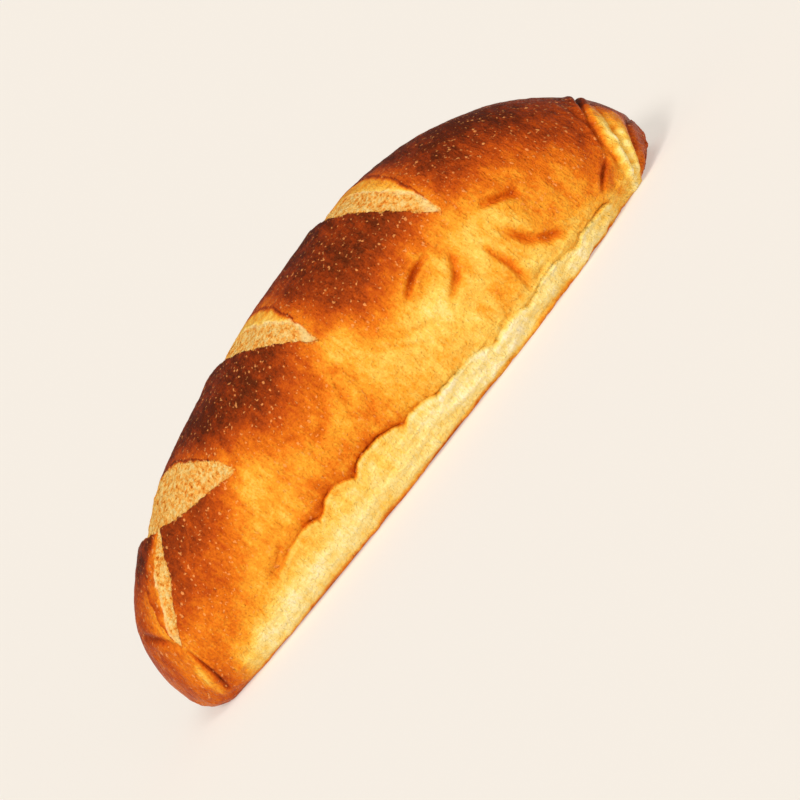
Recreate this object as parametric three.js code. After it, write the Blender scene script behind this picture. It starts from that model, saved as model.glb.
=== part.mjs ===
// A short, plump baguette loaf: one closed body of bread, baked as one piece, that rests on its flat
// underside.
// Millimetres, +Z up. The origin is the centre of the loaf's footprint, on the surface that it rests on.
// +X runs along the loaf, and the side that faces -Y is the front.
import * as THREE from "three";
import { mergeVertices } from "three/addons/utils/BufferGeometryUtils.js";

// ---- Driving dimensions ----------------------------------------------------------------------------------
const LENGTH = 260;
const WIDTH = 92;
const HEIGHT = 78.5;
const HALF_LENGTH = LENGTH / 2;
const HALF_WIDTH = WIDTH / 2;

// The widest line of a section lies at this share of the section's height.
const BELLY_SHARE = 0.34;
// The dome over the belly is a superellipse: 2 is an ellipse, and more is squarer.
const DOME_POWER = 2.2;

// Mesh: stations along the loaf, and steps around half of a section.
const STATIONS = 96;
const DOME_STEPS = 16;
const ROLL_STEPS = 5;
const BASE_STEPS = 2;
const HALF_STEPS = DOME_STEPS + ROLL_STEPS + BASE_STEPS;

// ---- Long profiles ---------------------------------------------------------------------------------------
// The loaf is highest and widest at this share of its half length. From there each end falls away as a
// superellipse, (1 - u^p)^(1/q): a larger q is a blunter end. The left end is blunt, and the right is more
// pointed.
const CROWN_PLACE = 0.2;
const LEFT = { ridge: { p: 2, q: 2.5 }, belly: { p: 2.4, q: 3.4 }, footNarrowing: 0.12, liftFrom: 0.86 };
const RIGHT = { ridge: { p: 2.2, q: 1.75 }, belly: { p: 2.4, q: 2 }, footNarrowing: 0.4, liftFrom: 0.8 };
// Height of the two tips, as a share of HEIGHT.
const TIP_HEIGHT = 0.17;
// Half width of the flat underside, as a share of the half width at the belly. It narrows towards the ends.
const FOOT_SHARE = 0.82;
const LIFT_POWER = 1.5;

// ---- Slashes ---------------------------------------------------------------------------------------------
// The baker's cuts, opened by the oven. The long ones cross the crown side by side with one slant: over its
// length each moves along the loaf by SLANT, a share of the half length. Their tips lie BACK_TIP and
// FRONT_TIP from the ridge over the crust, as shares of HEIGHT, positive down the front, and the front tips
// reach further down towards +X, by FRONT_DRIFT for each half length.
const SLANT = 0.34;
const BACK_TIP = -0.46;
const FRONT_TIP = 0.58;
const FRONT_DRIFT = 0.09;
// middle is halfway between the tips, a share of the half length. lean is how far the middle of the opening
// bows away from the straight line between the tips, towards +X.
const LONG_SLASHES = [
  { middle: -0.59, lean: -5.5, width: 25 },
  { middle: -0.18, lean: 6, width: 21 },
  { middle: 0.3, lean: 5, width: 21 },
];
// A short one crosses the left end the other way, so its lip is on its other side. Tips: [share of the half
// length, distance from the ridge as a share of HEIGHT].
const END_SLASH = { back: [-0.66, 0.17], front: [-0.89, 0.45], lean: -3.5, width: -17 };
const SLASH_DEPTH = 3;
// Below 1, a slash stays wide for longer before it closes at its tips.
const SLASH_FULLNESS = 0.85;
// The share of a slash's width over which its floor drops from the lip to the full depth.
const LIP_DROP_SHARE = 0.3;

// ---- Fold ------------------------------------------------------------------------------------------------
// A crease along each side, where the risen loaf rolls over its pale lower band: [x, height], as shares of
// the half length and of HEIGHT.
const FOLD_START = [-0.55, 0.33];
const FOLD_END = [0.8, 0.13];
const FOLD_DEPTH = 1.2;
const FOLD_REACH = 5;

// ---- Crust colour, seen on this plain solid --------------------------------------------------------------
const CRUST = { color: 0xc8791f, roughness: 0.55, metalness: 0 };

/** How far x lies from the crown towards its end of the loaf, from 0 to 1. */
function towardsEnd(x) {
  const along = x / HALF_LENGTH - CROWN_PLACE;
  return Math.min(1, along < 0 ? -along / (1 + CROWN_PLACE) : along / (1 - CROWN_PLACE));
}

/** A superellipse's height at u, from 1 at u = 0 to 0 at u = 1. */
function superellipse(u, { p, q }) {
  return Math.max(0, 1 - u ** p) ** (1 / q);
}

/** How far the underside curves up off the surface near an end, as a share of the way to the tip. */
function liftShare(x, end) {
  const v = THREE.MathUtils.clamp((Math.abs(x) / HALF_LENGTH - end.liftFrom) / (1 - end.liftFrom), 0, 1);
  return (1 - Math.sqrt(1 - v * v)) ** LIFT_POWER;
}

/** The loaf's measures at x: ridge height, base height, belly height and the two half widths. */
function measuresAt(x) {
  const end = x / HALF_LENGTH < CROWN_PLACE ? LEFT : RIGHT;
  const u = towardsEnd(x);
  const tip = TIP_HEIGHT * HEIGHT;
  const top = tip + (HEIGHT - tip) * superellipse(u, end.ridge);
  const bottom = tip * liftShare(x, end);
  const halfWidth = HALF_WIDTH * superellipse(u, end.belly);
  return {
    top,
    bottom,
    belly: bottom + BELLY_SHARE * (top - bottom),
    halfWidth,
    halfFoot: halfWidth * (FOOT_SHARE - end.footNarrowing * u ** 4),
  };
}

/** Half of the section at x, as (outward, height) points from the ridge to the middle of the underside. */
function halfSection(x) {
  const m = measuresAt(x);
  const points = [];
  for (let i = 0; i < DOME_STEPS; i += 1) {
    const turn = (i / DOME_STEPS) * (Math.PI / 2);
    const outward = m.halfWidth * Math.sin(turn) ** (2 / DOME_POWER);
    const height = m.belly + (m.top - m.belly) * Math.cos(turn) ** (2 / DOME_POWER);
    points.push(new THREE.Vector2(outward, height));
  }
  const roll = new THREE.CubicBezierCurve(
    new THREE.Vector2(m.halfWidth, m.belly),
    new THREE.Vector2(m.halfWidth, THREE.MathUtils.lerp(m.belly, m.bottom, 0.55)),
    new THREE.Vector2((m.halfWidth + m.halfFoot) / 2, THREE.MathUtils.lerp(m.belly, m.bottom, 0.9)),
    new THREE.Vector2(m.halfFoot, m.bottom),
  );
  points.push(...roll.getPoints(ROLL_STEPS));
  for (let i = 1; i <= BASE_STEPS; i += 1) {
    points.push(new THREE.Vector2(m.halfFoot * (1 - i / BASE_STEPS), m.bottom));
  }
  return points;
}

/** All the slashes, each with its tips, the bow of its lip and its signed width from lip to far edge. */
function allSlashes() {
  const long = LONG_SLASHES.map(({ middle, lean, width }) => ({
    back: [middle - SLANT / 2, BACK_TIP],
    front: [middle + SLANT / 2, FRONT_TIP + FRONT_DRIFT * middle],
    lean,
    width,
  }));
  return [END_SLASH, ...long].map((slash) => ({ ...slash, lipBow: slash.lean - slash.width / 2 }));
}

/** A point of the unrolled surface on a slash: its share across from lip to far edge, and the width there. */
function placeOnSlash(slash, x, fromRidge) {
  const back = new THREE.Vector2(slash.back[0] * HALF_LENGTH, slash.back[1] * HEIGHT);
  const front = new THREE.Vector2(slash.front[0] * HALF_LENGTH, slash.front[1] * HEIGHT);
  const ahead = front.clone().sub(back);
  const length = ahead.length();
  ahead.normalize();
  const offset = new THREE.Vector2(x, fromRidge).sub(back);
  const along = THREE.MathUtils.clamp(offset.dot(ahead) / length, 0, 1);
  const bow = Math.sin(Math.PI * along) ** SLASH_FULLNESS;
  const across = offset.x * ahead.y - offset.y * ahead.x;
  const width = bow * slash.width;
  return { share: (across - bow * slash.lipBow) / (width || 1), width: Math.abs(width) };
}

const SLASHES = allSlashes();

/** How deep the slashes lie under the crust at a point of the unrolled surface. */
function slashDepth(x, fromRidge) {
  let depth = 0;
  for (const slash of SLASHES) {
    const { share, width } = placeOnSlash(slash, x, fromRidge);
    if (share <= 0 || share >= 1) continue;
    const drop = THREE.MathUtils.smoothstep(share, 0, LIP_DROP_SHARE);
    const openness = THREE.MathUtils.smoothstep(width, 1, 9);
    depth = Math.max(depth, SLASH_DEPTH * openness * drop * (1 - share));
  }
  return depth;
}

/** How deep the fold lies under the crust at x and a height on the side of the loaf. */
function foldDepth(x, height) {
  const fold = new THREE.Line3(
    new THREE.Vector3(FOLD_START[0] * HALF_LENGTH, FOLD_START[1] * HEIGHT, 0),
    new THREE.Vector3(FOLD_END[0] * HALF_LENGTH, FOLD_END[1] * HEIGHT, 0),
  );
  const point = new THREE.Vector3(x, height, 0);
  const away = fold.closestPointToPoint(point, true, new THREE.Vector3()).distanceTo(point);
  return FOLD_DEPTH * (1 - THREE.MathUtils.smoothstep(away, 0, FOLD_REACH));
}

/** One side's points of the section at x, sunk where a slash or the fold runs. side is -1 for the front. */
function carvedSide(x, side) {
  const points = halfSection(x);
  let travelled = 0;
  return points.map((point, i) => {
    const before = points[Math.max(i - 1, 0)];
    const after = points[Math.min(i + 1, points.length - 1)];
    travelled += point.distanceTo(before);
    const tangent = after.clone().sub(before);
    if (i === 0) tangent.set(1, 0);
    const onBase = i >= DOME_STEPS + ROLL_STEPS;
    const length = tangent.length();
    const sunk = onBase || length < 1e-6
      ? 0
      : slashDepth(x, -side * travelled) + foldDepth(x, point.y);
    const inwardY = length < 1e-6 ? 0 : tangent.y / length;
    const inwardZ = length < 1e-6 ? 0 : -tangent.x / length;
    return new THREE.Vector3(x, side * (point.x + sunk * inwardY), point.y + sunk * inwardZ);
  });
}

/** The section's points all the way round: down the back, and up the front to the ridge again. */
function ring(x) {
  const front = carvedSide(x, -1);
  const back = carvedSide(x, 1);
  return [...back, ...front.slice(1, -1).reverse(), back[0]];
}

/** The loaf: a sphere's grid, with its poles at the two ends of the loaf, moved onto the sections. */
function loafGeometry() {
  const around = 2 * HALF_STEPS;
  const geometry = new THREE.SphereGeometry(1, around, STATIONS);
  const position = geometry.getAttribute("position");
  for (let station = 0; station <= STATIONS; station += 1) {
    const x = -HALF_LENGTH * Math.cos((Math.PI * station) / STATIONS);
    const points = ring(x);
    const isEnd = station === 0 || station === STATIONS;
    for (let step = 0; step <= around; step += 1) {
      const place = isEnd ? new THREE.Vector3(x, 0, measuresAt(x).belly) : points[step];
      position.setXYZ(station * (around + 1) + step, place.x, place.y, place.z);
    }
  }
  geometry.deleteAttribute("normal");
  geometry.deleteAttribute("uv");
  const closed = mergeVertices(geometry, 1e-4);
  closed.computeVertexNormals();
  return closed;
}

const loaf = new THREE.Mesh(loafGeometry(), new THREE.MeshStandardMaterial(CRUST));
loaf.name = "loaf";

const baguette = new THREE.Group();
baguette.add(loaf);

export default baguette;
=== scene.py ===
"""A short, plump baguette: a slashed, domed crust over a pale lower band, resting on its flat underside.

The loaf is one mesh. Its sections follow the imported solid's box, and every lip, fold, crease and bulge is
moved into the mesh here. Lengths in the shape code are millimetres, in the frame's axes: +X along the loaf,
the front at -Y, and Z up from the surface that it rests on. They become metres when the mesh is made.
"""

import math

import bpy
import numpy as np
from mathutils import Matrix, Vector


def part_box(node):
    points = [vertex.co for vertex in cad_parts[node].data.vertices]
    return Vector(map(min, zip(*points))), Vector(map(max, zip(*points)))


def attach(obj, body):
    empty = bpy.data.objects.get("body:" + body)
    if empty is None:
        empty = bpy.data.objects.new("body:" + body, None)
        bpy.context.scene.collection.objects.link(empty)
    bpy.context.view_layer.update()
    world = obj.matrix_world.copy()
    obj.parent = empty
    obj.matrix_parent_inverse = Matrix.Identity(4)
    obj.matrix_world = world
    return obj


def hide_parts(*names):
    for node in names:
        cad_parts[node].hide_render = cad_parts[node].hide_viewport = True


MM = 0.001
NODE = "loaf"

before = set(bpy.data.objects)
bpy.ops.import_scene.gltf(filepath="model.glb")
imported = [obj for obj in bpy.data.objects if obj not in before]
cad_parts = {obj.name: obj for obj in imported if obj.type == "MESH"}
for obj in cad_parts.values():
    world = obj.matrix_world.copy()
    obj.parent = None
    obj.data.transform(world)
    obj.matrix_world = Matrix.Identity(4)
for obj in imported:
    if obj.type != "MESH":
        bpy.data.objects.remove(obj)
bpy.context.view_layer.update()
low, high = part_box(NODE)
LENGTH = (high.x - low.x) / MM
WIDTH = (high.y - low.y) / MM
HEIGHT = (high.z - low.z) / MM
HALF_LENGTH = LENGTH / 2
HALF_WIDTH = WIDTH / 2

# ---- The loaf's long profiles ----------------------------------------------------------------------------
# The loaf is highest and widest at CROWN_PLACE, a share of its half length. From there each end falls away
# as a superellipse, (1 - u^p)^(1/q), given as (p, q): a larger q is a blunter end.
CROWN_PLACE = 0.2
LEFT = {"ridge": (2, 2.5), "belly": (2.4, 3.4), "foot_narrowing": 0.12, "lift_from": 0.86}
RIGHT = {"ridge": (2.2, 1.75), "belly": (2.4, 2), "foot_narrowing": 0.4, "lift_from": 0.8}
TIP_HEIGHT = 0.17 * HEIGHT
FOOT_SHARE = 0.82
LIFT_POWER = 1.5
BELLY_SHARE = 0.34
DOME_POWER = 2.2

# ---- Mesh density ----------------------------------------------------------------------------------------
STATIONS = 760
SIDE_STEPS = 216
BASE_STEPS = 14
FINE_STEPS = 240


# ---- Small maths -----------------------------------------------------------------------------------------
def smoothstep(low_edge, high_edge, value):
    t = np.clip((value - low_edge) / (high_edge - low_edge), 0, 1)
    return t * t * (3 - 2 * t)


def bell(distance, width):
    """1 at no distance, falling off smoothly over about the width."""
    return np.exp(-((distance / width) ** 2))


def smooth_curve(places, values, where):
    """A smooth curve through (place, value) points, at each of where."""
    places, values = np.asarray(places, float), np.asarray(values, float)
    steps = np.diff(places)
    rises = np.diff(values) / steps
    slopes = np.full_like(values, rises.mean())
    slopes[1:-1] = (rises[:-1] * steps[1:] + rises[1:] * steps[:-1]) / (steps[1:] + steps[:-1])
    slopes[0] = 1.5 * rises[0] - 0.5 * slopes[1]
    slopes[-1] = 1.5 * rises[-1] - 0.5 * slopes[-2]
    k = np.clip(np.searchsorted(places, where, side="right") - 1, 0, len(steps) - 1)
    t = (where - places[k]) / steps[k]
    r = 1 - t
    return (
        (1 + 2 * t) * r * r * values[k]
        + t * r * r * steps[k] * slopes[k]
        + t * t * (3 - 2 * t) * values[k + 1]
        - t * t * r * steps[k] * slopes[k + 1]
    )


def superellipse(u, powers):
    """1 at u = 0, falling to 0 at u = 1."""
    p, q = powers
    return np.maximum(0, 1 - u**p) ** (1 / q)


def long_profiles(x):
    """Ridge height, base height, half width and half width of the foot at each x."""
    share = np.asarray(x, float) / HALF_LENGTH
    tops, bottoms, wides, feet = [], [], [], []
    for end, sign in ((LEFT, -1), (RIGHT, 1)):
        u = np.clip(sign * (share - CROWN_PLACE) / (1 - sign * CROWN_PLACE), 0, 1)
        v = np.clip((sign * share - end["lift_from"]) / (1 - end["lift_from"]), 0, 1)
        wide = HALF_WIDTH * superellipse(u, end["belly"])
        tops.append(TIP_HEIGHT + (HEIGHT - TIP_HEIGHT) * superellipse(u, end["ridge"]))
        bottoms.append(TIP_HEIGHT * (1 - np.sqrt(1 - v * v)) ** LIFT_POWER)
        wides.append(wide)
        feet.append(wide * (FOOT_SHARE - end["foot_narrowing"] * u**4))
    on_left = share < CROWN_PLACE
    return [np.where(on_left, left, right) for left, right in (tops, bottoms, wides, feet)]


class Noise:
    """Smooth seeded gradient noise, from about -1 to 1, at points in millimetres."""

    def __init__(self, seed):
        draw = np.random.default_rng(seed)
        self.order = np.concatenate([draw.permutation(256)] * 3)
        ways = draw.normal(size=(256, 3))
        self.ways = ways / np.linalg.norm(ways, axis=1, keepdims=True)

    def at(self, points, size):
        scaled = points / size
        cell = np.floor(scaled).astype(int)
        inside = scaled - cell
        cell &= 255
        fade = inside**3 * (inside * (inside * 6 - 15) + 10)
        total = np.zeros(len(points))
        for dx in (0, 1):
            wx = fade[:, 0] if dx else 1 - fade[:, 0]
            for dy in (0, 1):
                wy = fade[:, 1] if dy else 1 - fade[:, 1]
                for dz in (0, 1):
                    wz = fade[:, 2] if dz else 1 - fade[:, 2]
                    a = self.order[cell[:, 0] + dx]
                    b = self.order[a + cell[:, 1] + dy]
                    way = self.ways[self.order[b + cell[:, 2] + dz]]
                    dot = ((inside - (dx, dy, dz)) * way).sum(1)
                    total += wx * wy * wz * dot
        return total * 1.6

    def rough(self, points, size, octaves):
        """Several scales of the noise added up, each half the size and half the height of the last."""
        total, height = np.zeros(len(points)), 1.0
        for _ in range(octaves):
            total += height * self.at(points, size)
            size, height = size / 2, height / 2
        return total


# ---- The plain loaf --------------------------------------------------------------------------------------
def fine_sides(x):
    """Fine outlines of one side of the sections at x: outward and height, from the ridge to the foot."""
    top, bottom, wide, foot = (values[:, None] for values in long_profiles(x))
    belly = bottom + BELLY_SHARE * (top - bottom)
    turn = np.linspace(0, math.pi / 2, FINE_STEPS)[None, :]
    dome_out = wide * np.sin(turn) ** (2 / DOME_POWER)
    dome_up = belly + (top - belly) * np.cos(turn) ** (2 / DOME_POWER)
    t = np.linspace(0, 1, FINE_STEPS)[None, 1:]
    weights = ((1 - t) ** 3, 3 * (1 - t) ** 2 * t, 3 * (1 - t) * t**2, t**3)
    drop = belly - bottom
    outs = (wide, wide, (wide + foot) / 2, foot)
    ups = (belly, belly - 0.55 * drop, belly - 0.9 * drop, bottom)
    roll_out = sum(w * p for w, p in zip(weights, outs))
    roll_up = sum(w * p for w, p in zip(weights, ups))
    return np.hstack([dome_out, roll_out]), np.hstack([dome_up, roll_up])


def run_down(outward, upward):
    """How far each point of a side lies from the ridge, over the surface."""
    pieces = np.hypot(np.diff(outward, axis=1), np.diff(upward, axis=1))
    return np.hstack([np.zeros((len(outward), 1)), np.cumsum(pieces, axis=1)])


class Surface:
    """The loaf's grid of points: stations along it, and columns round it from the ridge down the back, under
    it and up the front. down is the distance from the ridge, positive on the front. share is 0 at the ridge
    and 1 at the foot."""

    def __init__(self):
        angles = np.linspace(0, math.pi, STATIONS + 1)[1:-1]
        stations = -HALF_LENGTH * np.cos(angles)
        outward, upward = fine_sides(stations)
        run = run_down(outward, upward)
        shares = np.linspace(0, 1, SIDE_STEPS + 1)
        side_out = np.array([np.interp(shares * r[-1], r, o) for r, o in zip(run, outward)])
        side_up = np.array([np.interp(shares * r[-1], r, u) for r, u in zip(run, upward)])
        side_run = run[:, -1]
        base = np.linspace(1, -1, 2 * BASE_STEPS + 1)[1:-1]
        base_out = side_out[:, -1:] * base[None, :]
        base_up = np.repeat(side_up[:, -1:], len(base), axis=1)
        y = np.hstack([side_out, base_out, -side_out[:, :0:-1]])
        z = np.hstack([side_up, base_up, side_up[:, :0:-1]])
        self.rows, self.columns = y.shape
        x = np.repeat(stations[:, None], self.columns, axis=1)
        down = shares[None, :] * side_run[:, None]
        on_base = np.repeat(side_run[:, None], len(base), axis=1)
        base_down = on_base * np.sign(-base + 1e-9)[None, :]
        self.down = np.hstack([-down, base_down, down[:, :0:-1]]).ravel()
        share = np.repeat(shares[None, :], self.rows, axis=0)
        ones = np.ones((self.rows, len(base)))
        self.share = np.hstack([share, ones, share[:, :0:-1]]).ravel()
        self.under = np.hstack([share * 0, ones, share[:, :0:-1] * 0]).ravel()
        self.plain = np.stack([x, y, z], axis=2).reshape(-1, 3)
        self.normal = self.normals_of(self.plain)
        self.moved = np.zeros_like(self.plain)

    def normals_of(self, points):
        grid = points.reshape(self.rows, self.columns, 3)
        along = np.gradient(grid, axis=0)
        around = np.roll(grid, -1, axis=1) - np.roll(grid, 1, axis=1)
        normal = np.cross(along, around).reshape(-1, 3)
        return normal / np.maximum(np.linalg.norm(normal, axis=1, keepdims=True), 1e-9)

    def place(self, x, share):
        """Points on the plain surface at x, at a share of the way down the front, or the back if negative."""
        x, share = np.asarray(x, float), np.asarray(share, float)
        outward, upward = fine_sides(x)
        run = run_down(outward, upward)
        out = [np.interp(abs(d) * r[-1], r, o) for d, r, o in zip(share, run, outward)]
        up = [np.interp(abs(d) * r[-1], r, u) for d, r, u in zip(share, run, upward)]
        return np.stack([x, -np.sign(share) * np.array(out), up], axis=1)

    def push(self, amount):
        """Moves the points along their normals."""
        self.moved += self.normal * amount[:, None]

    def slide(self, toward_x, toward_down):
        """Moves the points over the surface, along the loaf and down the front."""
        downward = np.cross((1, 0, 0), self.normal)
        lengthwise = np.cross(self.normal, downward)
        self.moved += lengthwise * toward_x[:, None] + downward * toward_down[:, None]


class Line:
    """A line drawn on the loaf through points of (share of the half length, share of the way from the ridge
    to the foot), the latter positive on the front and negative on the back."""

    SPACING = 0.5

    def __init__(self, surface, points):
        points = np.asarray(points, float)
        ends = surface.place(points[:, 0] * HALF_LENGTH, points[:, 1])
        steps = np.concatenate([[0], np.cumsum(np.linalg.norm(np.diff(ends, axis=0), axis=1))])
        t = np.linspace(0, steps[-1], max(int(steps[-1] / self.SPACING), 8))
        x = smooth_curve(steps, points[:, 0], t) * HALF_LENGTH
        self.surface = surface
        self.points = surface.place(x, smooth_curve(steps, points[:, 1], t))
        ahead = np.gradient(self.points, axis=0)
        self.ahead = ahead / np.linalg.norm(ahead, axis=1, keepdims=True)
        pieces = np.linalg.norm(np.diff(self.points, axis=0), axis=1)
        self.run = np.concatenate([[0], np.cumsum(pieces)])

    def near(self, reach):
        """The surface points within reach, and for each its signed distance from the line (positive to the
        left, looking along it from outside), its place along it from 0 to 1, and the way to the left."""
        s = self.surface
        box_low, box_high = self.points.min(0) - reach, self.points.max(0) + reach
        inside = np.all((s.plain > box_low) & (s.plain < box_high), axis=1) & (s.under < 1)
        index = np.flatnonzero(inside)
        p = s.plain[index]
        best = np.full(len(index), np.inf)
        nearest = np.zeros(len(index), int)
        for k, c in enumerate(self.points):
            d = ((p - c) ** 2).sum(1)
            closer = d < best
            best[closer] = d[closer]
            nearest[closer] = k
        keep = best < reach * reach
        index, nearest, p = index[keep], nearest[keep], p[keep]
        offset = p - self.points[nearest]
        ahead = self.ahead[nearest]
        left = np.cross(s.normal[index], ahead)
        left /= np.maximum(np.linalg.norm(left, axis=1, keepdims=True), 1e-9)
        across = (offset * left).sum(1)
        along = (offset * ahead).sum(1)
        last = len(self.points) - 1
        beyond = ((nearest == 0) & (along < 0)) | ((nearest == last) & (along > 0))
        far = np.sign(across) * np.sqrt((offset**2).sum(1))
        distance = np.where(beyond, far, across)
        place = (self.run[nearest] + along * ~beyond) / self.run[-1]
        return index, distance, place, left


def arch(start, end, rise):
    """Points from start to end that bow up by rise, a share of the way from the ridge to the foot."""
    t = np.linspace(0, 1, 7)
    along = start[0] + t * (end[0] - start[0])
    down = start[1] + t * (end[1] - start[1])
    return np.stack([along, down - np.sign(down) * rise * 4 * t * (1 - t)], axis=1)


# ---- Browning --------------------------------------------------------------------------------------------
# How brown the crust is, from 0 (cream) to 1 (dark brown): dark on the crown, pale on the band above the
# foot.
CROWN_BROWN = 0.96
SIDE_BROWN = 0.43
BAND_BROWN = 0.28
SIDE_PALES_OVER = (0.15, 0.8)
BAND_PALES_OVER = (0.76, 0.88)
# Towards the foot edge the crust darkens: partly the browned underside coming round, partly painted shade
# where the side curves under towards the floor.
FOOT_EDGE_DARK = 0.62
FOOT_EDGE_FROM = 0.965
LEFT_END = {"from": -0.77, "to": -0.9, "brown": 0.74}
RIGHT_END = {"from": 0.74, "to": 0.92, "brown": 0.88}
BASE_BROWN = 0.74
# How strongly the two ends take their own browning.
END_STRENGTH = 0.85
# Browner and paler patches lie by the slashes' tips and the band, and patches of painted shade lie above the
# tallest fold and by the ends: half width, half height and change.
SHOULDER = (0.12, 0.12, 0.1)
TIP_GLOW = (0.1, 0.14, -0.13)
BELLY_GLOW = (0.24, 0.12, -0.17)
SHADE_ABOVE_TALL_FOLD = (0.22, 0.05, 0.15)
BAND_GLOW = (0.2, 0.07, -0.1)
END_SHADE = (0.1, 0.16, 0.1)
GLOW_BELOW_TIP = 0.08
SHADE_ABOVE_BAND = 0.09
BAND_GLOWS = 6
# The back gets the same patches, shifted and squeezed along it.
BACK_SHIFT = 0.07
BACK_SQUEEZE = 0.92


def patches():
    """Each patch: share of the half length, share of the way down, half width, half height and change."""
    tips = [tip_of(slash) for slash in all_slashes()[1:]]
    for along, down in tips:
        yield along, down + GLOW_BELOW_TIP, *TIP_GLOW
    for here, following in zip(tips, tips[1:]):
        yield (here[0] + following[0]) / 2, here[1] - GLOW_BELOW_TIP, *SHOULDER
    belly = (tips[1][0] + tips[2][0]) / 2
    yield belly, (tips[1][1] + band_edge(belly)) / 2, *BELLY_GLOW
    # A patch of painted shade above the tallest fold.
    yield TALL_FOLD, band_edge(TALL_FOLD) - SHADE_ABOVE_BAND, *SHADE_ABOVE_TALL_FOLD
    for along in np.linspace(*FOLD_SPAN, BAND_GLOWS):
        yield along, (1 + band_edge(along)) / 2, *BAND_GLOW
    for along in (LEFT_END["from"], RIGHT_END["from"]):
        yield along, band_edge(along) - SHADE_ABOVE_BAND, *END_SHADE


def browning(surface, noise):
    p, share = surface.plain, surface.share
    place = p[:, 0] / HALF_LENGTH
    level = CROWN_BROWN + (SIDE_BROWN - CROWN_BROWN) * smoothstep(*SIDE_PALES_OVER, share)
    level += (BAND_BROWN - SIDE_BROWN) * smoothstep(*BAND_PALES_OVER, share)
    # Darker at the foot edge: partly the underside's browning, partly painted shade.
    level += (FOOT_EDGE_DARK - BAND_BROWN) * smoothstep(FOOT_EDGE_FROM, 1, share)
    place_here = np.where(surface.down > 0, place, BACK_SHIFT - BACK_SQUEEZE * place)
    for along, down, wide, tall, change in patches():
        level += change * np.exp(-(((place_here - along) / wide) ** 2) - ((share - down) / tall) ** 2)
    for end in (LEFT_END, RIGHT_END):
        level += END_STRENGTH * smoothstep(end["from"], end["to"], place) * (end["brown"] - level)
    level += 0.08 * noise.rough(p, 22, 3) + 0.03 * noise.rough(p * (1, 1, 0.45), 4.5, 2)
    return np.where(surface.under > 0, BASE_BROWN + 0.05 * noise.rough(p, 14, 3), level)


# ---- Slashes ---------------------------------------------------------------------------------------------
# The long slashes cross the crown side by side with one slant: over its length each moves along the loaf by
# SLANT, a share of the half length. Their tips lie BACK_TIP and FRONT_TIP from the ridge over the crust, as
# shares of HEIGHT, and the front tips reach further down towards the right, by FRONT_DRIFT for each half
# length. The lip is the crust's lifted edge. Beyond it lies crumb up to a pale tear, at a share of the width,
# and then a smooth facet of stretched crust up to the far edge. lean is how far the middle of the opening
# bows towards +X.
SLANT = 0.34
BACK_TIP = -0.46
FRONT_TIP = 0.58
FRONT_DRIFT = 0.09
LONG_SLASHES = [
    {"middle": -0.59, "lean": -5.5, "width": 25, "tear": 0.94, "pale": 0.3, "facet": 0.6},
    {"middle": -0.18, "lean": 6, "width": 21, "tear": 0.64, "pale": 0.9, "facet": 0.42},
    {"middle": 0.3, "lean": 5, "width": 21, "tear": 0.6, "pale": 0.8, "facet": 0.47},
]
# A short one crosses the left end the other way, so its lip is on its other side.
END_SLASH = {
    "back": (-0.66, 0.17), "front": (-0.89, 0.45), "lean": -3.5, "width": -17,
    "tear": 0.6, "pale": 0.9, "facet": 0.68,
}
# Below 1, a slash stays wide for longer before it closes at its tips.
FULLNESS = 0.85
DEPTH = 1.9
# How far the lip is lifted, how wide the wall under it is, and how far the lip leans out over the wall.
EAR = 0.5
WALL = 0.9
OVERHANG = 0.6
UNDERCUT = 0.5
# The tear swings over to the far edge along this last stretch of the slash.
TEAR_CLOSES = (0.7, 1.0)
TEAR_HALF_WIDTH = 1.3
TEAR_RISE = 0.4


def all_slashes():
    slashes = [END_SLASH]
    for slash in LONG_SLASHES:
        middle = slash["middle"]
        back = (middle - SLANT / 2, BACK_TIP)
        front = (middle + SLANT / 2, FRONT_TIP + FRONT_DRIFT * middle)
        slashes.append({**slash, "back": back, "front": front})
    return slashes


class Cut:
    """A slash measured at every point of the unrolled surface."""

    def __init__(self, surface, slash, noise):
        self.slash = slash
        back = np.array(slash["back"]) * (HALF_LENGTH, HEIGHT)
        front = np.array(slash["front"]) * (HALF_LENGTH, HEIGHT)
        length = np.linalg.norm(front - back)
        ahead = (front - back) / length
        p = surface.plain
        offset = np.stack([p[:, 0], surface.down], axis=1) - back
        self.along = np.clip(offset @ ahead / length, 0, 1)
        across = offset[:, 0] * ahead[1] - offset[:, 1] * ahead[0]
        across += 0.9 * noise.at(p, 12) + 0.6 * noise.at(p, 5) + 0.35 * noise.at(p, 2.2)
        beyond = np.maximum(offset @ ahead - length, 0) + np.maximum(-(offset @ ahead), 0)
        self.past_tip = np.linalg.norm(offset - ahead * (length + 4), axis=1)
        bow = np.sin(math.pi * self.along) ** FULLNESS
        side = np.sign(slash["width"])
        self.width = bow * abs(slash["width"])
        self.from_lip = side * (across - bow * (slash["lean"] - slash["width"] / 2))
        self.from_far = self.width - self.from_lip
        self.inner = np.minimum(self.from_lip, self.from_far) - beyond
        self.share = np.clip(self.from_lip / np.maximum(self.width, 0.1), 0, 1)
        self.tear = slash["tear"] + (1 - slash["tear"]) * smoothstep(*TEAR_CLOSES, self.along)
        self.from_tear = self.from_lip - self.tear * self.width
        self.opened = smoothstep(0.5, 7, self.width)
        self.inward = side * ahead[1], -side * ahead[0]
        self.weight = np.ones(len(p))

    def give_way_to(self, others):
        """Where two slashes run into each other, each keeps the part that lies deeper inside it."""
        for other in others:
            self.weight *= 1 - smoothstep(-0.8, 0.8, other.inner - np.maximum(self.inner, 0))


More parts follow.
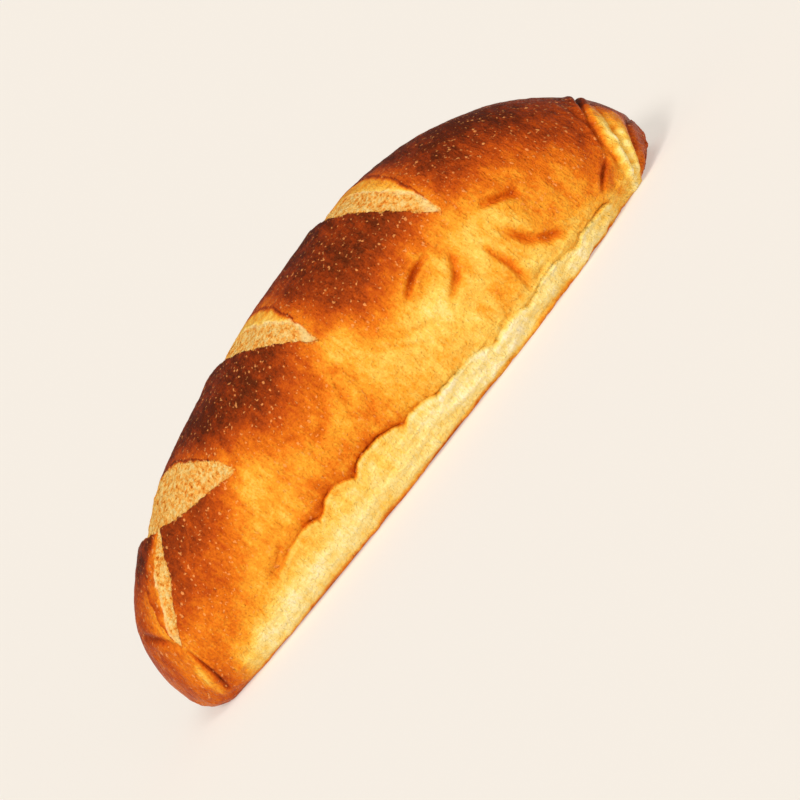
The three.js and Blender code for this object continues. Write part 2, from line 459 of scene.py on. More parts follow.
def open_slash(surface, fields, noise, cut):
    p, weight, inside = surface.plain, cut.weight, cut.inner > 0
    near_lip = np.abs(cut.from_lip)
    floor = -DEPTH * cut.opened * smoothstep(1.05, 0.0, cut.share) ** 0.8
    crumb = inside & (cut.from_tear < 0)
    floor += cut.opened * crumb * (0.3 * noise.rough(p, 2.8, 3) + 0.4 * noise.at(p, 6))
    beyond = np.where(cut.inner > -12, 1.0, 0.0)
    ear = EAR * cut.opened * np.exp(-((near_lip / 5) ** 2)) * beyond
    drop = smoothstep(0, WALL, cut.from_lip) * inside
    surface.push(weight * (ear * (1 - drop) + floor * drop))
    over = OVERHANG * cut.opened * np.exp(-near_lip / 2) * (cut.from_lip < WALL) * beyond
    under = UNDERCUT * cut.opened * bell(cut.from_lip - WALL, 2) * inside
    slide = weight * (over * (1 - drop) - under * drop)
    surface.slide(slide * cut.inward[0], slide * cut.inward[1])

    torn = TEAR_RISE * tear_weight(cut, noise, p)
    surface.push(weight * torn)
    paint_slash(fields, noise, cut, p, inside, crumb)


def tear_weight(cut, noise, p):
    """1 along the pale torn ridge between crumb and facet, and across the slash near its front tip."""
    ragged = cut.from_tear + 0.7 * noise.at(p, 5) + 0.3 * noise.at(p, 2)
    ridge = bell(ragged, TEAR_HALF_WIDTH) * smoothstep(0.3, 0.5, cut.along)
    tip = smoothstep(0.8, 0.97, cut.along) * smoothstep(-0.6, 1.2, cut.inner)
    patchy = 0.75 + 0.35 * noise.at(p, 4)
    return np.maximum(ridge * cut.opened, 1.1 * tip) * (cut.inner > -0.6) * patchy


def paint_slash(fields, noise, cut, p, inside, crumb):
    border = np.minimum(cut.inner, -cut.from_tear)
    fields["open"] = np.maximum(fields["open"], np.where(cut.weight > 0.5, border, -9))
    # The crumb is darker next to the lip: painted shade under the overhanging lip.
    level = 0.31 + 0.25 * bell(cut.from_lip, 1.0) + 0.1 * noise.rough(p * (1, 0.5, 0.5), 4, 3)
    fields["crumb"] = np.where(crumb & (cut.weight > 0.5), level, fields["crumb"])
    on_facet = cut.weight * inside * (cut.from_tear > -0.5) * smoothstep(-0.2, 2.5, cut.from_far)
    brown = cut.slash["facet"] - 0.1 * bell(cut.from_tear, 2) + 0.08 * noise.rough(p * (1, 1, 2.5), 5, 2)
    fields["bake"] += on_facet * (brown - fields["bake"])
    beside = cut.weight * (cut.from_far < 0) * smoothstep(0.3, 0.7, cut.along) * cut.opened
    fields["bake"] -= 0.24 * beside * bell(cut.from_far, 6)
    tip_glow = np.exp(-((cut.past_tip / 9) ** 2)) * (cut.inner < 0)
    fields["bake"] -= 0.16 * tip_glow * (fields["bake"] > 0.3)
    pale = cut.slash["pale"] * tear_weight(cut, noise, p)
    fields["tear"] = np.maximum(fields["tear"], cut.weight * pale)


# ---- Folds, creases, ridges and dents --------------------------------------------------------------------
# Places are (share of the half length, share of the way from the ridge to the foot). Depths, rises and half
# widths are millimetres. The lines follow the slashes' tips, the band's top edge and the hood's rim.
# The top edge of the pale band lies at these shares of the way down at the left and at the right, and falls
# between.
BAND_EDGE = (0.79, 0.91)
BAND_FALLS_OVER = (-0.35, 0.45)
# Along that edge the dough below laps up over a groove, in shallow arches end to end. The tallest stands at
# TALL_FOLD. Each groove is darkened with painted shade, deepest a little left of the tallest fold, and a
# painted highlight runs along each rim.
FOLD_SPAN = (-0.56, 0.78)
FOLD_COUNT = 8
FOLD_JITTER = 0.03
FOLD_LAP = 0.03
FOLD_BOW = (0.015, 0.035)
FOLD_DEPTH = (1.1, 1.7)
FOLD_RISE = 0.8
FOLD_SHADE = 0.07
TALL_FOLD = -0.23
TALL_BOW = 0.035
TALL_REACH = 0.1
DEEPEST_SHADE_AT = -0.3
DEEPEST_SHADE_REACH = 0.3
DEEPEST_SHADE = 0.12
# The crust puckers below the slashes' front tips: creases spread from each tip over these angles from
# straight down, in degrees. Each starts a little way off, swings and bends at random, has its own length, and
# is darkened along it with painted shade.
PUCKER_ANGLES = (-62, 58)
PUCKER_COUNT = 5
PUCKER_SWING = 8
PUCKER_START = (9, 17)
PUCKER_LENGTH = (14, 34)
PUCKER_BENDS = (25, 35)
PUCKER_STRENGTH = (0.6, 1.1)
PUCKER_WIDTH = (0.9, 1.8)
PUCKER_SHADE = 0.1
# Under the left, middle and right slash.
PUCKER_DEPTHS = (0.4, 0.7, 2.1)
# Gentle swellings all over the upper crust.
SWELLINGS = 14
SWELLING_RADIUS = (8, 18)
SWELLING_RISE = (-0.5, 0.8)
# The soft band under the folds is wrinkled lengthwise, more so towards the right, and the side below the
# right slash is lumpier than the rest. Both are painted lighter on their raised parts and darker in their
# hollows, as painted light and shade.
BAND_WRINKLE = 1.1
WRINKLE_PAINTED_LIGHT = 0.07
LUMP_RISE = 0.7
LUMP_PAINTED_LIGHT = 0.1
# The right end. The crust ends like the rim of a hood: an arc over the end, set back by HOOD_SWEEP at the
# squared share of the way down. Below it a fan of pleats runs to the foot, each starting at FAN_TOP and
# sweeping back.
HOOD_PLACE = 0.95
HOOD_SWEEP = 0.17
HOOD_REACH = (-0.6, 0.7)
# The hood's crease is darkened along it with painted shade.
HOOD_CREASE = {"depth": 1.6, "wide": 0.9, "brown": 0.12}
TUCK_ABOVE_BAND = 0.08
FAN_PLACE = 0.94
FAN_TOP = 0.22
FAN_SWEEP = 0.1
FAN_STEP = 0.05
FAN_PLEATS = (0, 0.9)
FAN_VALLEYS = (-0.6, 0.45, 1.6)
FAN_MIDDLE = 0.3
# Seeds of the random draws: the two noises, the front's and the back's folds, and the swellings.
BODY_SEED = 11
GRAIN_SEED = 29
FRONT_SEED = 4
BACK_SEED = 9
SWELLING_SEED = 17
# The whole crust rises and sinks in waves of these heights and sizes, about a level a little under it.
BODY_WAVES = ((0.45, 42), (0.35, 18), (0.14, 7))
BODY_SINK = 0.3


def band_edge(along):
    """The top edge of the pale band, as a share of the way from the ridge to the foot."""
    return BAND_EDGE[0] + (BAND_EDGE[1] - BAND_EDGE[0]) * smoothstep(*BAND_FALLS_OVER, along)


def side_length(along):
    """How far the foot lies from the ridge over the crust, in millimetres."""
    return run_down(*fine_sides(np.array([along * HALF_LENGTH])))[0, -1]


def tip_of(slash):
    """A slash's front tip: share of the half length, share of the way from the ridge to the foot."""
    along, down = slash["front"]
    return along, down * HEIGHT / side_length(along)


def band_folds(side, seed):
    """The folds of the front (side 1) or the back (-1): start, end, arch, depth of the groove, rise of the
    rim, and how dark the painted shade in the groove is."""
    draw = np.random.default_rng(seed)
    ends = np.linspace(*FOLD_SPAN, FOLD_COUNT + 1)
    ends[1:-1] += draw.uniform(-FOLD_JITTER, FOLD_JITTER, FOLD_COUNT - 1)
    folds = []
    for left, right in zip(ends[:-1], ends[1:]):
        tall = bell((left + right) / 2 - TALL_FOLD, TALL_REACH) * (side > 0)
        start = (left - FOLD_LAP, side * (band_edge(left) + 0.01))
        end = (right, side * (band_edge(right) + draw.uniform(-0.01, 0.01)))
        bow = draw.uniform(*FOLD_BOW) + TALL_BOW * tall
        # How dark the groove's painted shade is, deepest a little left of the tallest fold.
        brown = FOLD_SHADE + DEEPEST_SHADE * bell(left - DEEPEST_SHADE_AT, DEEPEST_SHADE_REACH)
        pair = (start, end) if side > 0 else (end, start)
        folds.append((*pair, bow, draw.uniform(*FOLD_DEPTH), FOLD_RISE, brown))
    return folds


def away_from(place, angle, distance):
    """The place at a distance in millimetres over the crust, at an angle from straight down in degrees."""
    turn = math.radians(angle)
    along = place[0] + distance * math.sin(turn) / HALF_LENGTH
    return along, place[1] + distance * math.cos(turn) / side_length(along)


def puckers(slash, depth, seed):
    """Creases that spread out below a slash's front tip, each with a slight bend."""
    draw = np.random.default_rng(seed)
    tip = tip_of(slash)
    creases = []
    for angle in np.linspace(*PUCKER_ANGLES, PUCKER_COUNT):
        angle += draw.uniform(-PUCKER_SWING, PUCKER_SWING)
        length = draw.uniform(*PUCKER_LENGTH)
        points = [away_from(tip, angle, draw.uniform(*PUCKER_START))]
        for bend in PUCKER_BENDS:
            turned = angle + draw.uniform(-bend, bend)
            points.append(away_from(points[-1], turned, length / 2))
        pressed = depth * draw.uniform(*PUCKER_STRENGTH)
        creases.append((points, pressed, draw.uniform(*PUCKER_WIDTH), PUCKER_SHADE * depth))
    return creases


def end_creases():
    """The left end's valleys, over and under the short slash's front tip, and the right end's tuck, which
    runs from the end of the folds up to the hood's rim, all darkened with painted shade. Each is a line,
    depth, half width and how dark its painted shade is."""
    along, down = tip_of(END_SLASH)
    over = [(along - 0.05, 0.15), (along - 0.03, down / 2 + 0.08), (along, down)]
    under = [(along, down + 0.02), (along, down + 0.2), (along - 0.01, down + 0.36)]
    tuck_start = (FOLD_SPAN[1], band_edge(FOLD_SPAN[1]) - TUCK_ABOVE_BAND)
    tuck = arch(tuck_start, tuple(hood_rim()[-1]), 0.01)
    return [(over, 0.9, 1.3, 0.16), (under, 0.8, 0.6, 0.24), (tuck, 1.3, 0.9, 0.18)]


def end_wedge():
    """The paler wedge of dough beside the left end's lower valley: line, rise, half width, paler, creamy."""
    along, down = tip_of(END_SLASH)
    line = [(along - 0.015, down + 0.1), (along - 0.03, down + 0.22), (along - 0.025, down + 0.38)]
    return line, 0.4, 1.9, -0.28, 0.1


def swellings(seed):
    """Round swellings and hollows at seeded places: place, radius and rise."""
    draw = np.random.default_rng(seed)
    for _ in range(SWELLINGS):
        place = draw.uniform(-0.8, 0.8), draw.uniform(-0.7, 0.7)
        yield place, draw.uniform(*SWELLING_RADIUS), draw.uniform(*SWELLING_RISE)


def hood_rim():
    down = np.linspace(*HOOD_REACH, 7)
    return np.stack([HOOD_PLACE - HOOD_SWEEP * down**2, down], axis=1)


def fan_line(step):
    """The middle of the fan's pleat or valley at this step, where 0 is the first pleat."""
    t = np.linspace(0, 1, 6)
    along = FAN_PLACE - FAN_SWEEP * t**2 + step * FAN_STEP * (1 - 0.6 * t)
    return np.stack([along, FAN_TOP + (1 - FAN_TOP) * t], axis=1)


def press_fold(surface, fields, noise, fold):
    start, end, bow, depth, rise, brown = fold
    index, above, place, left = Line(surface, arch(start, end, bow)).near(14)
    p = surface.plain[index]
    above = above + 1.5 * noise.at(p, 10) + 0.7 * noise.at(p, 4)
    strength = smoothstep(0, 0.12, place) * smoothstep(1, 0.86, place) * (0.9 + 0.7 * noise.at(p, 9))
    past = np.maximum(above, 0)
    groove = smoothstep(-0.1, 0.5, above) * (0.6 * bell(past, 1.2) + 0.4 * bell(past, 3))
    rim = np.exp(-np.abs(above / 2)) * (above < 0.2)
    height = strength * (rise * rim - depth * groove + 0.4 * rise * bell(above - 7, 4.5))
    surface.moved[index] += surface.normal[index] * height[:, None]
    lap = strength * 0.9 * rise * np.exp(-np.abs(above) / 1.2)
    surface.moved[index] += left * lap[:, None]
    # Painted shade: a dark line in the groove and a broader, softer one above it. A painted highlight runs
    # along the rim, and the dough below it is paler.
    line = 0.9 * bell(above - 0.5, 0.8) + 0.8 * bell(above - 1.8, 2.8) * (above > 0)
    change = brown * line - 0.14 * bell(above + 0.6, 0.8) - 0.5 * brown * bell(above + 3.5, 3)
    fields["bake"][index] += strength * change


def press_crease(surface, fields, crease):
    points, depth, wide, brown = crease
    index, across, place, _ = Line(surface, points).near(6 * wide)
    ends = np.sin(np.clip(place, 0, 1) * math.pi) ** 0.6
    height = ends * depth * (0.4 * bell(np.abs(across) - 2.4 * wide, 1.4 * wide) - bell(across, wide))
    surface.moved[index] += surface.normal[index] * height[:, None]
    # Darker along the crease: painted shade.
    fields["bake"][index] += ends * brown * bell(across, 1.2 * wide)


def raise_pleat(surface, fields, noise, pleat):
    points, rise, wide, paler, creamy = pleat
    index, across, place, _ = Line(surface, points).near(3.5 * wide)
    ends = np.sin(np.clip(place, 0, 1) * math.pi) ** 0.5
    weight = ends * bell(across, wide) * (0.95 + 0.3 * noise.at(surface.plain[index], 3))
    surface.moved[index] += surface.normal[index] * (rise * weight)[:, None]
    fields["bake"][index] += paler * weight
    fields["tear"][index] = np.maximum(fields["tear"][index], creamy * weight)


def swell(surface, place, radius, rise):
    centre = surface.place([place[0] * HALF_LENGTH], [place[1]])[0]
    surface.push(rise * np.exp(-((surface.plain - centre) ** 2).sum(1) / radius**2))


def press_creases(surface, fields):
    for seed, (slash, depth) in enumerate(zip(all_slashes()[1:], PUCKER_DEPTHS)):
        for crease in puckers(slash, depth, seed):
            press_crease(surface, fields, crease)
    hood = (hood_rim(), HOOD_CREASE["depth"], HOOD_CREASE["wide"], HOOD_CREASE["brown"])
    for crease in end_creases() + [hood]:
        press_crease(surface, fields, crease)


def wrinkle_band(surface, fields, noise, place, upper):
    rightwards = 0.4 + 0.6 * smoothstep(-0.35, 0.2, place)
    band = upper * smoothstep(0.78, 0.88, surface.share) * rightwards
    wrinkles = noise.rough(surface.plain * (0.4, 1, 1.3), 6, 4)
    surface.push(band * BAND_WRINKLE * wrinkles)
    # Raised wrinkles lighter, hollows darker: painted light and shade.
    fields["bake"] -= band * WRINKLE_PAINTED_LIGHT * wrinkles


def lump_side(surface, fields, noise, place, upper):
    lumpy = smoothstep(0.15, 0.35, place) * smoothstep(0.82, 0.7, place)
    lumpy = lumpy * smoothstep(0.4, 0.52, surface.share) * smoothstep(0.88, 0.78, surface.share)
    lumps = noise.rough(surface.plain * (1, 1, 0.7), 9, 2)
    surface.push(upper * LUMP_RISE * lumpy * lumps)
    # Raised lumps lighter, hollows darker: painted light and shade.
    fields["bake"] -= LUMP_PAINTED_LIGHT * upper * lumpy * lumps


def open_slashes(surface, fields, noise):
    cuts = [Cut(surface, slash, noise) for slash in all_slashes()]
    for cut in cuts:
        cut.give_way_to([other for other in cuts if other is not cut])
        open_slash(surface, fields, noise, cut)


def raise_fan(surface, fields, noise):
    """The broad pale middle of the fan first, then its valleys and pleats."""
    raise_pleat(surface, fields, noise, (fan_line(FAN_MIDDLE), 0.3, 7.5, -0.56, 0.3))
    for step in FAN_VALLEYS:
        # The valleys are darkened with painted shade.
        press_crease(surface, fields, (fan_line(step), 0.8, 1.1, 0.1))
    for step in FAN_PLEATS:
        raise_pleat(surface, fields, noise, (fan_line(step), 1.0, 2.6, -0.16, 0.4))


def roughen_crust(surface, fields, noise, upper):
    """A fine grain, stretched down the sides, everywhere but in the slashes, painted lighter where it is
    raised and darker in its hollows, as painted light and shade.
    """
    crust = smoothstep(0.3, -0.6, fields["open"])
    p = surface.plain
    unrolled = np.stack([p[:, 0], surface.down * 0.22, np.zeros(len(p))], axis=1)
    stretch = noise.rough(unrolled, 3.2, 3)
    surface.push(upper * crust * (0.13 * stretch + 0.06 * noise.at(p, 3)))
    # Lighter on the grain's raised parts: painted light and shade.
    fields["bake"] -= 0.05 * upper * crust * stretch


def shape_loaf():
    surface = Surface()
    noise, grain = Noise(BODY_SEED), Noise(GRAIN_SEED)
    p, upper = surface.plain, 1 - surface.under
    place = p[:, 0] / HALF_LENGTH
    fields = {
        "bake": browning(surface, noise),
        "open": np.full(len(p), -9.0),
        "crumb": np.full(len(p), 0.4),
        "tear": np.zeros(len(p)),
    }
    waves = sum(height * noise.at(p, size) for height, size in BODY_WAVES)
    surface.push(upper * (waves - BODY_SINK))
    for fold in band_folds(1, FRONT_SEED) + band_folds(-1, BACK_SEED):
        press_fold(surface, fields, grain, fold)
    press_creases(surface, fields)
    for centre, radius, rise in swellings(SWELLING_SEED):
        swell(surface, centre, radius, rise)
    wrinkle_band(surface, fields, grain, place, upper)
    lump_side(surface, fields, grain, place, upper)
    open_slashes(surface, fields, grain)
    raise_fan(surface, fields, grain)
    raise_pleat(surface, fields, grain, end_wedge())
    roughen_crust(surface, fields, grain, upper)
    return surface, fields


def loaf_points(surface):
    """The moved points, and the two poles that close the ends."""
    points = surface.plain + surface.moved
    points[:, 2] = np.where(surface.under > 0, surface.plain[:, 2], np.maximum(points[:, 2], 0.02))
    left_end = points[: surface.columns].mean(0)
    right_end = points[-surface.columns :].mean(0)
    left_end[0] = min(left_end[0] - 0.05, -HALF_LENGTH)
    right_end[0] = max(right_end[0] + 0.05, HALF_LENGTH)
    return np.vstack([points, left_end, right_end])


def loaf_faces(surface):
    """The corners of every face, one after another, and how many corners each face has."""
    rows, columns = surface.rows, surface.columns
    i, j = np.meshgrid(np.arange(rows - 1), np.arange(columns), indexing="ij")
    after = (j + 1) % columns
    here, ahead = i * columns, (i + 1) * columns
    quads = np.stack([here + j, ahead + j, ahead + after, here + after], axis=2)
    ring = np.arange(columns)
    following = (ring + 1) % columns
    left_pole, right_pole = rows * columns, rows * columns + 1
    last = (rows - 1) * columns
    left_cap = np.stack([np.full(columns, left_pole), ring, following], axis=1)
    right_cap = np.stack([last + ring, np.full(columns, right_pole), last + following], axis=1)
    corners = np.concatenate([quads.ravel(), left_cap.ravel(), right_cap.ravel()])
    sizes = np.concatenate([np.full((rows - 1) * columns, 4), np.full(2 * columns, 3)])
    return corners, sizes


def with_poles(surface, values):
    ends = [values[: surface.columns].mean(), values[-surface.columns :].mean()]
    return np.concatenate([values, ends]).astype(np.float32)


def add_uv(mesh, surface, corners, sizes):
    """A map that unrolls the loaf: along it in u, round it in v, with the end caps as strips of their own."""
    rows, columns = surface.rows, surface.columns
    steps = np.concatenate([[0], np.cumsum(sizes)])
    row = np.minimum(corners // columns, rows)
    column = corners % columns
    u = 0.02 + 0.96 * (row + 0.5) / rows
    v = column.astype(float)
    # The last quad of each ring closes it, so its far corners take the column after the last.
    face = np.repeat(np.arange(len(sizes)), sizes)
    first = np.where(sizes[face] == 4, column[steps[face]], (face - (rows - 1) * columns) % columns)
    v = np.where((first == columns - 1) & (column == 0), columns, v)
    pole = corners >= rows * columns
    v = np.where(pole, first + 0.5, v)
    u = np.where(pole & (corners == rows * columns), 0.01, np.where(pole, 0.99, u))
    v = 0.01 + 0.98 * v / columns
    layer = mesh.uv_layers.new(name="OFBake")
    layer.data.foreach_set("uv", np.stack([u, v], axis=1).ravel().astype(np.float32))


def loaf_mesh(surface, fields):
    vertices = loaf_points(surface) * MM
    corners, sizes = loaf_faces(surface)
    mesh = bpy.data.meshes.new("crust")
    mesh.vertices.add(len(vertices))
    mesh.vertices.foreach_set("co", vertices.ravel())
    mesh.loops.add(len(corners))
    mesh.loops.foreach_set("vertex_index", corners)
    mesh.polygons.add(len(sizes))
    mesh.polygons.foreach_set("loop_start", np.concatenate([[0], np.cumsum(sizes)[:-1]]))
    mesh.polygons.foreach_set("loop_total", sizes)
    mesh.update(calc_edges=True)
    mesh.polygons.foreach_set("use_smooth", np.ones(len(sizes), bool))
    for name, values in fields.items():
        layer = mesh.attributes.new(name, "FLOAT", "POINT")
        layer.data.foreach_set("value", with_poles(surface, values))
    unrolled = mesh.attributes.new("unrolled", "FLOAT_VECTOR", "POINT")
    flat = [with_poles(surface, surface.plain[:, 0]), with_poles(surface, surface.down)]
    flat.append(np.zeros(len(vertices)))
    unrolled.data.foreach_set("vector", (np.stack(flat, axis=1) * MM).ravel().astype(np.float32))
    add_uv(mesh, surface, corners, sizes)
    return mesh


# ---- Material --------------------------------------------------------------------------------------------
def linear(red, green, blue):
    """A colour given as 0 to 255 display values, as the linear values a shader takes."""
    parts = [v / 255 for v in (red, green, blue)]
    parts = [v / 12.92 if v <= 0.04045 else ((v + 0.055) / 1.055) ** 2.4 for v in parts]
    return (*parts, 1.0)


class Nodes:
    """Makes and links shader nodes briefly."""

    def __init__(self, material):
        material.use_nodes = True
        self.tree = material.node_tree
        self.tree.nodes.clear()

    def feed(self, socket, value):
        if isinstance(value, bpy.types.NodeSocket):
            self.tree.links.new(value, socket)
        else:
            socket.default_value = value

    def add(self, kind, **inputs):
        node = self.tree.nodes.new("ShaderNode" + kind)
        for name, value in inputs.items():
            self.feed(node.inputs[name.replace("_", " ")], value)
        return node

    def math(self, operation, *values):
        node = self.tree.nodes.new("ShaderNodeMath")
        node.operation = operation
        for socket, value in zip(node.inputs, values):
            self.feed(socket, value)
        return node.outputs[0]

    def ramp(self, fac, stops):
        node = self.tree.nodes.new("ShaderNodeValToRGB")
        elements = node.color_ramp.elements
        while len(elements) < len(stops):
            elements.new(0.5)
        for element, (place, colour) in zip(elements, stops):
            element.position = place
            element.color = colour
        self.feed(node.inputs[0], fac)
        return node.outputs[0]

    def span(self, value, low_edge, high_edge):
        """0 below one edge, 1 above the other, smooth between. The first edge may be the higher one."""
        node = self.tree.nodes.new("ShaderNodeMapRange")
        node.interpolation_type = "SMOOTHSTEP"
        self.feed(node.inputs["From Min"], low_edge)
        self.feed(node.inputs["From Max"], high_edge)
        self.feed(node.inputs["Value"], value)
        return node.outputs["Result"]

    def mix(self, fac, a, b):
        node = self.tree.nodes.new("ShaderNodeMix")
        node.data_type = "RGBA"
        for socket, value in ((node.inputs[0], fac), (node.inputs[6], a), (node.inputs[7], b)):
            self.feed(socket, value)
        return node.outputs[2]

    def attribute(self, name, output="Fac"):
        node = self.tree.nodes.new("ShaderNodeAttribute")
        node.attribute_name = name
        return node.outputs[output]

    def noise(self, vector, size, detail=2.0, roughness=0.5):
        """Noise from 0 to 1 whose lumps are about size metres across."""
        node = self.add("TexNoise", Vector=vector, Scale=1 / size, Detail=detail, Roughness=roughness)
        return node.outputs["Fac"]

    def cells(self, vector, size):
        """Distance to the nearest cell centre in cell sizes, and a random number for that cell."""
        node = self.add("TexVoronoi", Vector=vector, Scale=1 / size)
        split = self.add("SeparateColor", Color=node.outputs["Color"])
        return node.outputs["Distance"], split.outputs[0]

    def stretched(self, vector, scale):
        return self.add("Mapping", Vector=vector, Scale=scale).outputs["Vector"]

    def bump(self, height, distance, normal=None):
        node = self.add("Bump", Height=height, Distance=distance)
        if normal is not None:
            self.feed(node.inputs["Normal"], normal)
        return node.outputs["Normal"]


CRUST_COLOURS = [
    (0.0, linear(252, 238, 196)), (0.15, linear(250, 224, 142)), (0.3, linear(249, 200, 88)),
    (0.45, linear(242, 158, 40)), (0.6, linear(224, 112, 14)), (0.75, linear(188, 72, 5)),
    (0.88, linear(142, 46, 3)), (1.0, linear(90, 26, 2)),
]
CRUMB_COLOURS = [
    (0.1, linear(255, 216, 136)), (0.3, linear(255, 190, 90)), (0.48, linear(244, 146, 50)),
    (0.62, linear(208, 102, 24)), (0.85, linear(136, 50, 6)),
]
CREAM = linear(255, 222, 148)
FLECK_AND_GLINT = linear(255, 164, 88)
SHINE_TINT = linear(255, 200, 128)


def speck_layer(n, place, size, radius, chosen):
    """Pale blisters, which also stand in for glints as painted highlights: 1 inside those cells whose number
    is above chosen.
    """
    near, number = n.cells(place, size)
    reach = n.math("MULTIPLY_ADD", number, radius, 0.3 * radius)
    inside = n.span(n.math("SUBTRACT", near, reach), 0.04, -0.04)
    return n.math("MULTIPLY", inside, n.span(number, chosen, chosen + 0.01))


def crust_material():
    material = bpy.data.materials.new("baked_crust")
    n = Nodes(material)
    place = n.add("TexCoord").outputs["Object"]
    flow = n.stretched(n.attribute("unrolled", "Vector"), (1, 0.36, 1))
    bake, opened = n.attribute("bake"), n.attribute("open")
    crumb, tear = n.attribute("crumb"), n.attribute("tear")

    ragged = n.noise(place, 0.0016, 3, 0.6)
    border = n.math("ADD", opened, n.math("MULTIPLY_ADD", ragged, 3.2, -1.6))
    in_slash = n.span(border, -0.35, 0.35)

    # Crust: browning with mottling; stretched grain whose hollows are darker, as painted shade; pale
    # blisters, which also stand in for glints as painted highlights.
    mottle = n.noise(place, 0.0045, 4, 0.6)
    streaks = n.noise(flow, 0.0012, 3, 0.6)
    fine = n.noise(place, 0.0008, 2, 0.6)
    level = n.math("MULTIPLY_ADD", n.math("SUBTRACT", mottle, 0.5), 0.24, bake)
    # Darker in the hollows of the streaks and the fine grain: painted shade.
    level = n.math("MULTIPLY_ADD", n.math("SUBTRACT", 0.5, streaks), 0.24, level)
    level = n.math("MULTIPLY_ADD", n.math("SUBTRACT", 0.5, fine), 0.2, level)
    crust = n.ramp(level, CRUST_COLOURS)
    dots = n.span(n.noise(n.stretched(place, (1, 1, 0.7)), 0.0013, 1, 0.5), 0.65, 0.72)
    large = speck_layer(n, n.stretched(place, (1.25, 1, 0.8)), 0.0038, 0.13, 0.5)
    specks = n.math("MULTIPLY", n.math("MAXIMUM", dots, large), n.span(bake, 0.35, 0.65))
    # Pale specks: blisters, and painted highlights standing in for glints.
    crust = n.mix(n.math("MULTIPLY", specks, 0.6), crust, FLECK_AND_GLINT)

    # Crumb: golden, darker in its pores as painted shade, with pale strands.
    crumb_grain = n.noise(place, 0.0018, 5, 0.75)
    # Darker where the bump below sinks the crumb into pores: painted shade.
    inner = n.ramp(n.math("MULTIPLY_ADD", n.math("SUBTRACT", crumb_grain, 0.5), 1.9, crumb), CRUMB_COLOURS)
    colour = n.mix(in_slash, crust, inner)
    torn = n.math("MULTIPLY_ADD", n.math("SUBTRACT", crumb_grain, 0.5), 0.8, tear)
    colour = n.mix(n.math("MULTIPLY", n.span(torn, 0.35, 0.85), 0.85), colour, CREAM)

    rough = n.math("MULTIPLY_ADD", in_slash, 0.4, n.math("MULTIPLY_ADD", mottle, 0.3, 0.3))
    matt = n.math("MAXIMUM", in_slash, n.span(torn, 0.2, 0.6))
    shine = n.math("MULTIPLY_ADD", specks, 0.3, 0.3)
    gloss = n.math("MAXIMUM", 0.0, n.math("MULTIPLY_ADD", matt, -0.6, shine))
    grain = n.bump(mottle, 0.0014)
    grain = n.bump(streaks, 0.001, grain)
    grain = n.bump(fine, 0.0005, grain)
    skin = n.bump(specks, 0.00015, grain)
    pores = n.bump(n.math("MULTIPLY", n.math("SUBTRACT", 0.5, crumb_grain), in_slash), 0.0012, skin)

    shader = n.add("BsdfPrincipled", Base_Color=colour, Roughness=rough, Normal=pores)
    n.feed(shader.inputs["Specular IOR Level"], gloss)
    n.feed(shader.inputs["Specular Tint"], SHINE_TINT)
    output = n.add("OutputMaterial")
    n.feed(output.inputs["Surface"], shader.outputs[0])
    return material


# ---- Stage, lights and camera ----------------------------------------------------------------------------
PALE = linear(245, 237, 226)
FLOOR_RADIUS = 40.0
FLOOR_COLOUR = (0.47, 0.434, 0.39, 1)
FLOOR_GLOW = 0.5
ROOM_LIGHT = 0.36
ROOM_SHINE = 0.12
LIGHTS = [
    {"name": "key", "azimuth": -28, "elevation": 40, "strength": 1.75, "spread": 14},
    {"name": "fill", "azimuth": 15, "elevation": 4, "strength": 1.0, "spread": 40},
    {"name": "top", "azimuth": 20, "elevation": 65, "strength": 0.85, "spread": 30},
]
VIEW_DOWN = math.radians(10)
VIEW_ROLL = math.radians(51.8)
VIEW_DISTANCE = 2.2
SENSOR = 36.0
FRAME_WIDTH = 0.2858
AIM_X = 0.0003
AIM_RISE = 0.0226


def make_floor():
    bpy.ops.mesh.primitive_circle_add(vertices=96, radius=FLOOR_RADIUS, fill_type="NGON")
    floor = bpy.context.object
    floor.name = "floor"
    material = bpy.data.materials.new("pale_floor")
    n = Nodes(material)
    shader = n.add("BsdfPrincipled", Base_Color=FLOOR_COLOUR, Roughness=1.0, Specular_IOR_Level=0.0)
    n.feed(shader.inputs["Emission Color"], PALE)
    n.feed(shader.inputs["Emission Strength"], FLOOR_GLOW)
    output = n.add("OutputMaterial")
    n.feed(output.inputs["Surface"], shader.outputs[0])
    floor.data.materials.append(material)


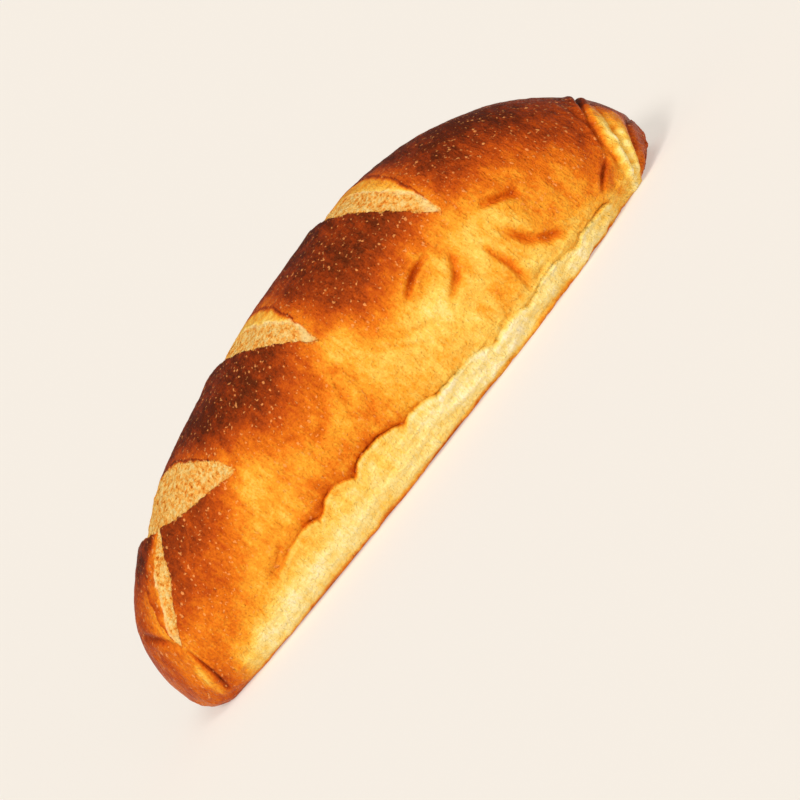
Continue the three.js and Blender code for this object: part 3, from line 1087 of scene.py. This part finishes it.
def make_world():
    """An even room: seen by the camera as the pale backdrop, and dimmer in the crust's reflections."""
    world = bpy.data.worlds.new("studio")
    bpy.context.scene.world = world
    world.use_nodes = True
    tree = world.node_tree
    tree.nodes.clear()
    ray = tree.nodes.new("ShaderNodeLightPath")
    output = tree.nodes.new("ShaderNodeOutputWorld")
    shader = add_background(tree, (1, 1, 1, 1), ROOM_LIGHT)
    seen_by = (("Is Glossy Ray", (1, 1, 1, 1), ROOM_SHINE), ("Is Camera Ray", PALE, 1.0))
    for is_ray, colour, strength in seen_by:
        mix = tree.nodes.new("ShaderNodeMixShader")
        tree.links.new(ray.outputs[is_ray], mix.inputs[0])
        tree.links.new(shader, mix.inputs[1])
        tree.links.new(add_background(tree, colour, strength), mix.inputs[2])
        shader = mix.outputs[0]
    tree.links.new(shader, output.inputs["Surface"])


def add_background(tree, colour, strength):
    node = tree.nodes.new("ShaderNodeBackground")
    node.inputs["Color"].default_value = colour
    node.inputs["Strength"].default_value = strength
    return node.outputs[0]


def make_sun(name, azimuth, elevation, strength, spread):
    """A soft light from a compass direction: azimuth 0 is the front, 90 the right."""
    data = bpy.data.lights.new(name, "SUN")
    data.energy = strength
    data.angle = math.radians(spread)
    light = bpy.data.objects.new(name, data)
    bpy.context.scene.collection.objects.link(light)
    a, e = math.radians(azimuth), math.radians(elevation)
    towards = Vector((math.sin(a) * math.cos(e), -math.cos(a) * math.cos(e), math.sin(e)))
    light.rotation_mode = "QUATERNION"
    light.rotation_quaternion = towards.to_track_quat("Z", "Y")


def make_camera():
    data = bpy.data.cameras.new("camera")
    data.sensor_width = SENSOR
    data.lens = SENSOR * VIEW_DISTANCE / FRAME_WIDTH
    data.clip_start, data.clip_end = 0.05, 50
    camera = bpy.data.objects.new("camera", data)
    bpy.context.scene.collection.objects.link(camera)
    back = Vector((0, -math.cos(VIEW_DOWN), math.sin(VIEW_DOWN)))
    up = Vector((0, math.sin(VIEW_DOWN), math.cos(VIEW_DOWN)))
    foot_front = -HALF_WIDTH * FOOT_SHARE * MM
    aim = Vector((AIM_X, 0, 0)) + up * (AIM_RISE + foot_front * math.sin(VIEW_DOWN))
    turned = Matrix.Rotation(-VIEW_ROLL, 4, "Z")
    square = Matrix((Vector((1, 0, 0)), up, back)).transposed().to_4x4()
    camera.matrix_world = Matrix.Translation(aim + back * VIEW_DISTANCE) @ square @ turned
    bpy.context.scene.camera = camera


surface, fields = shape_loaf()
loaf = bpy.data.objects.new("baguette_loaf", loaf_mesh(surface, fields))
bpy.context.scene.collection.objects.link(loaf)
loaf.data.materials.append(crust_material())
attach(loaf, "root")
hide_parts(NODE)

make_floor()
make_world()
for light in LIGHTS:
    make_sun(**light)
make_camera()
bpy.context.scene.view_settings.view_transform = "Standard"
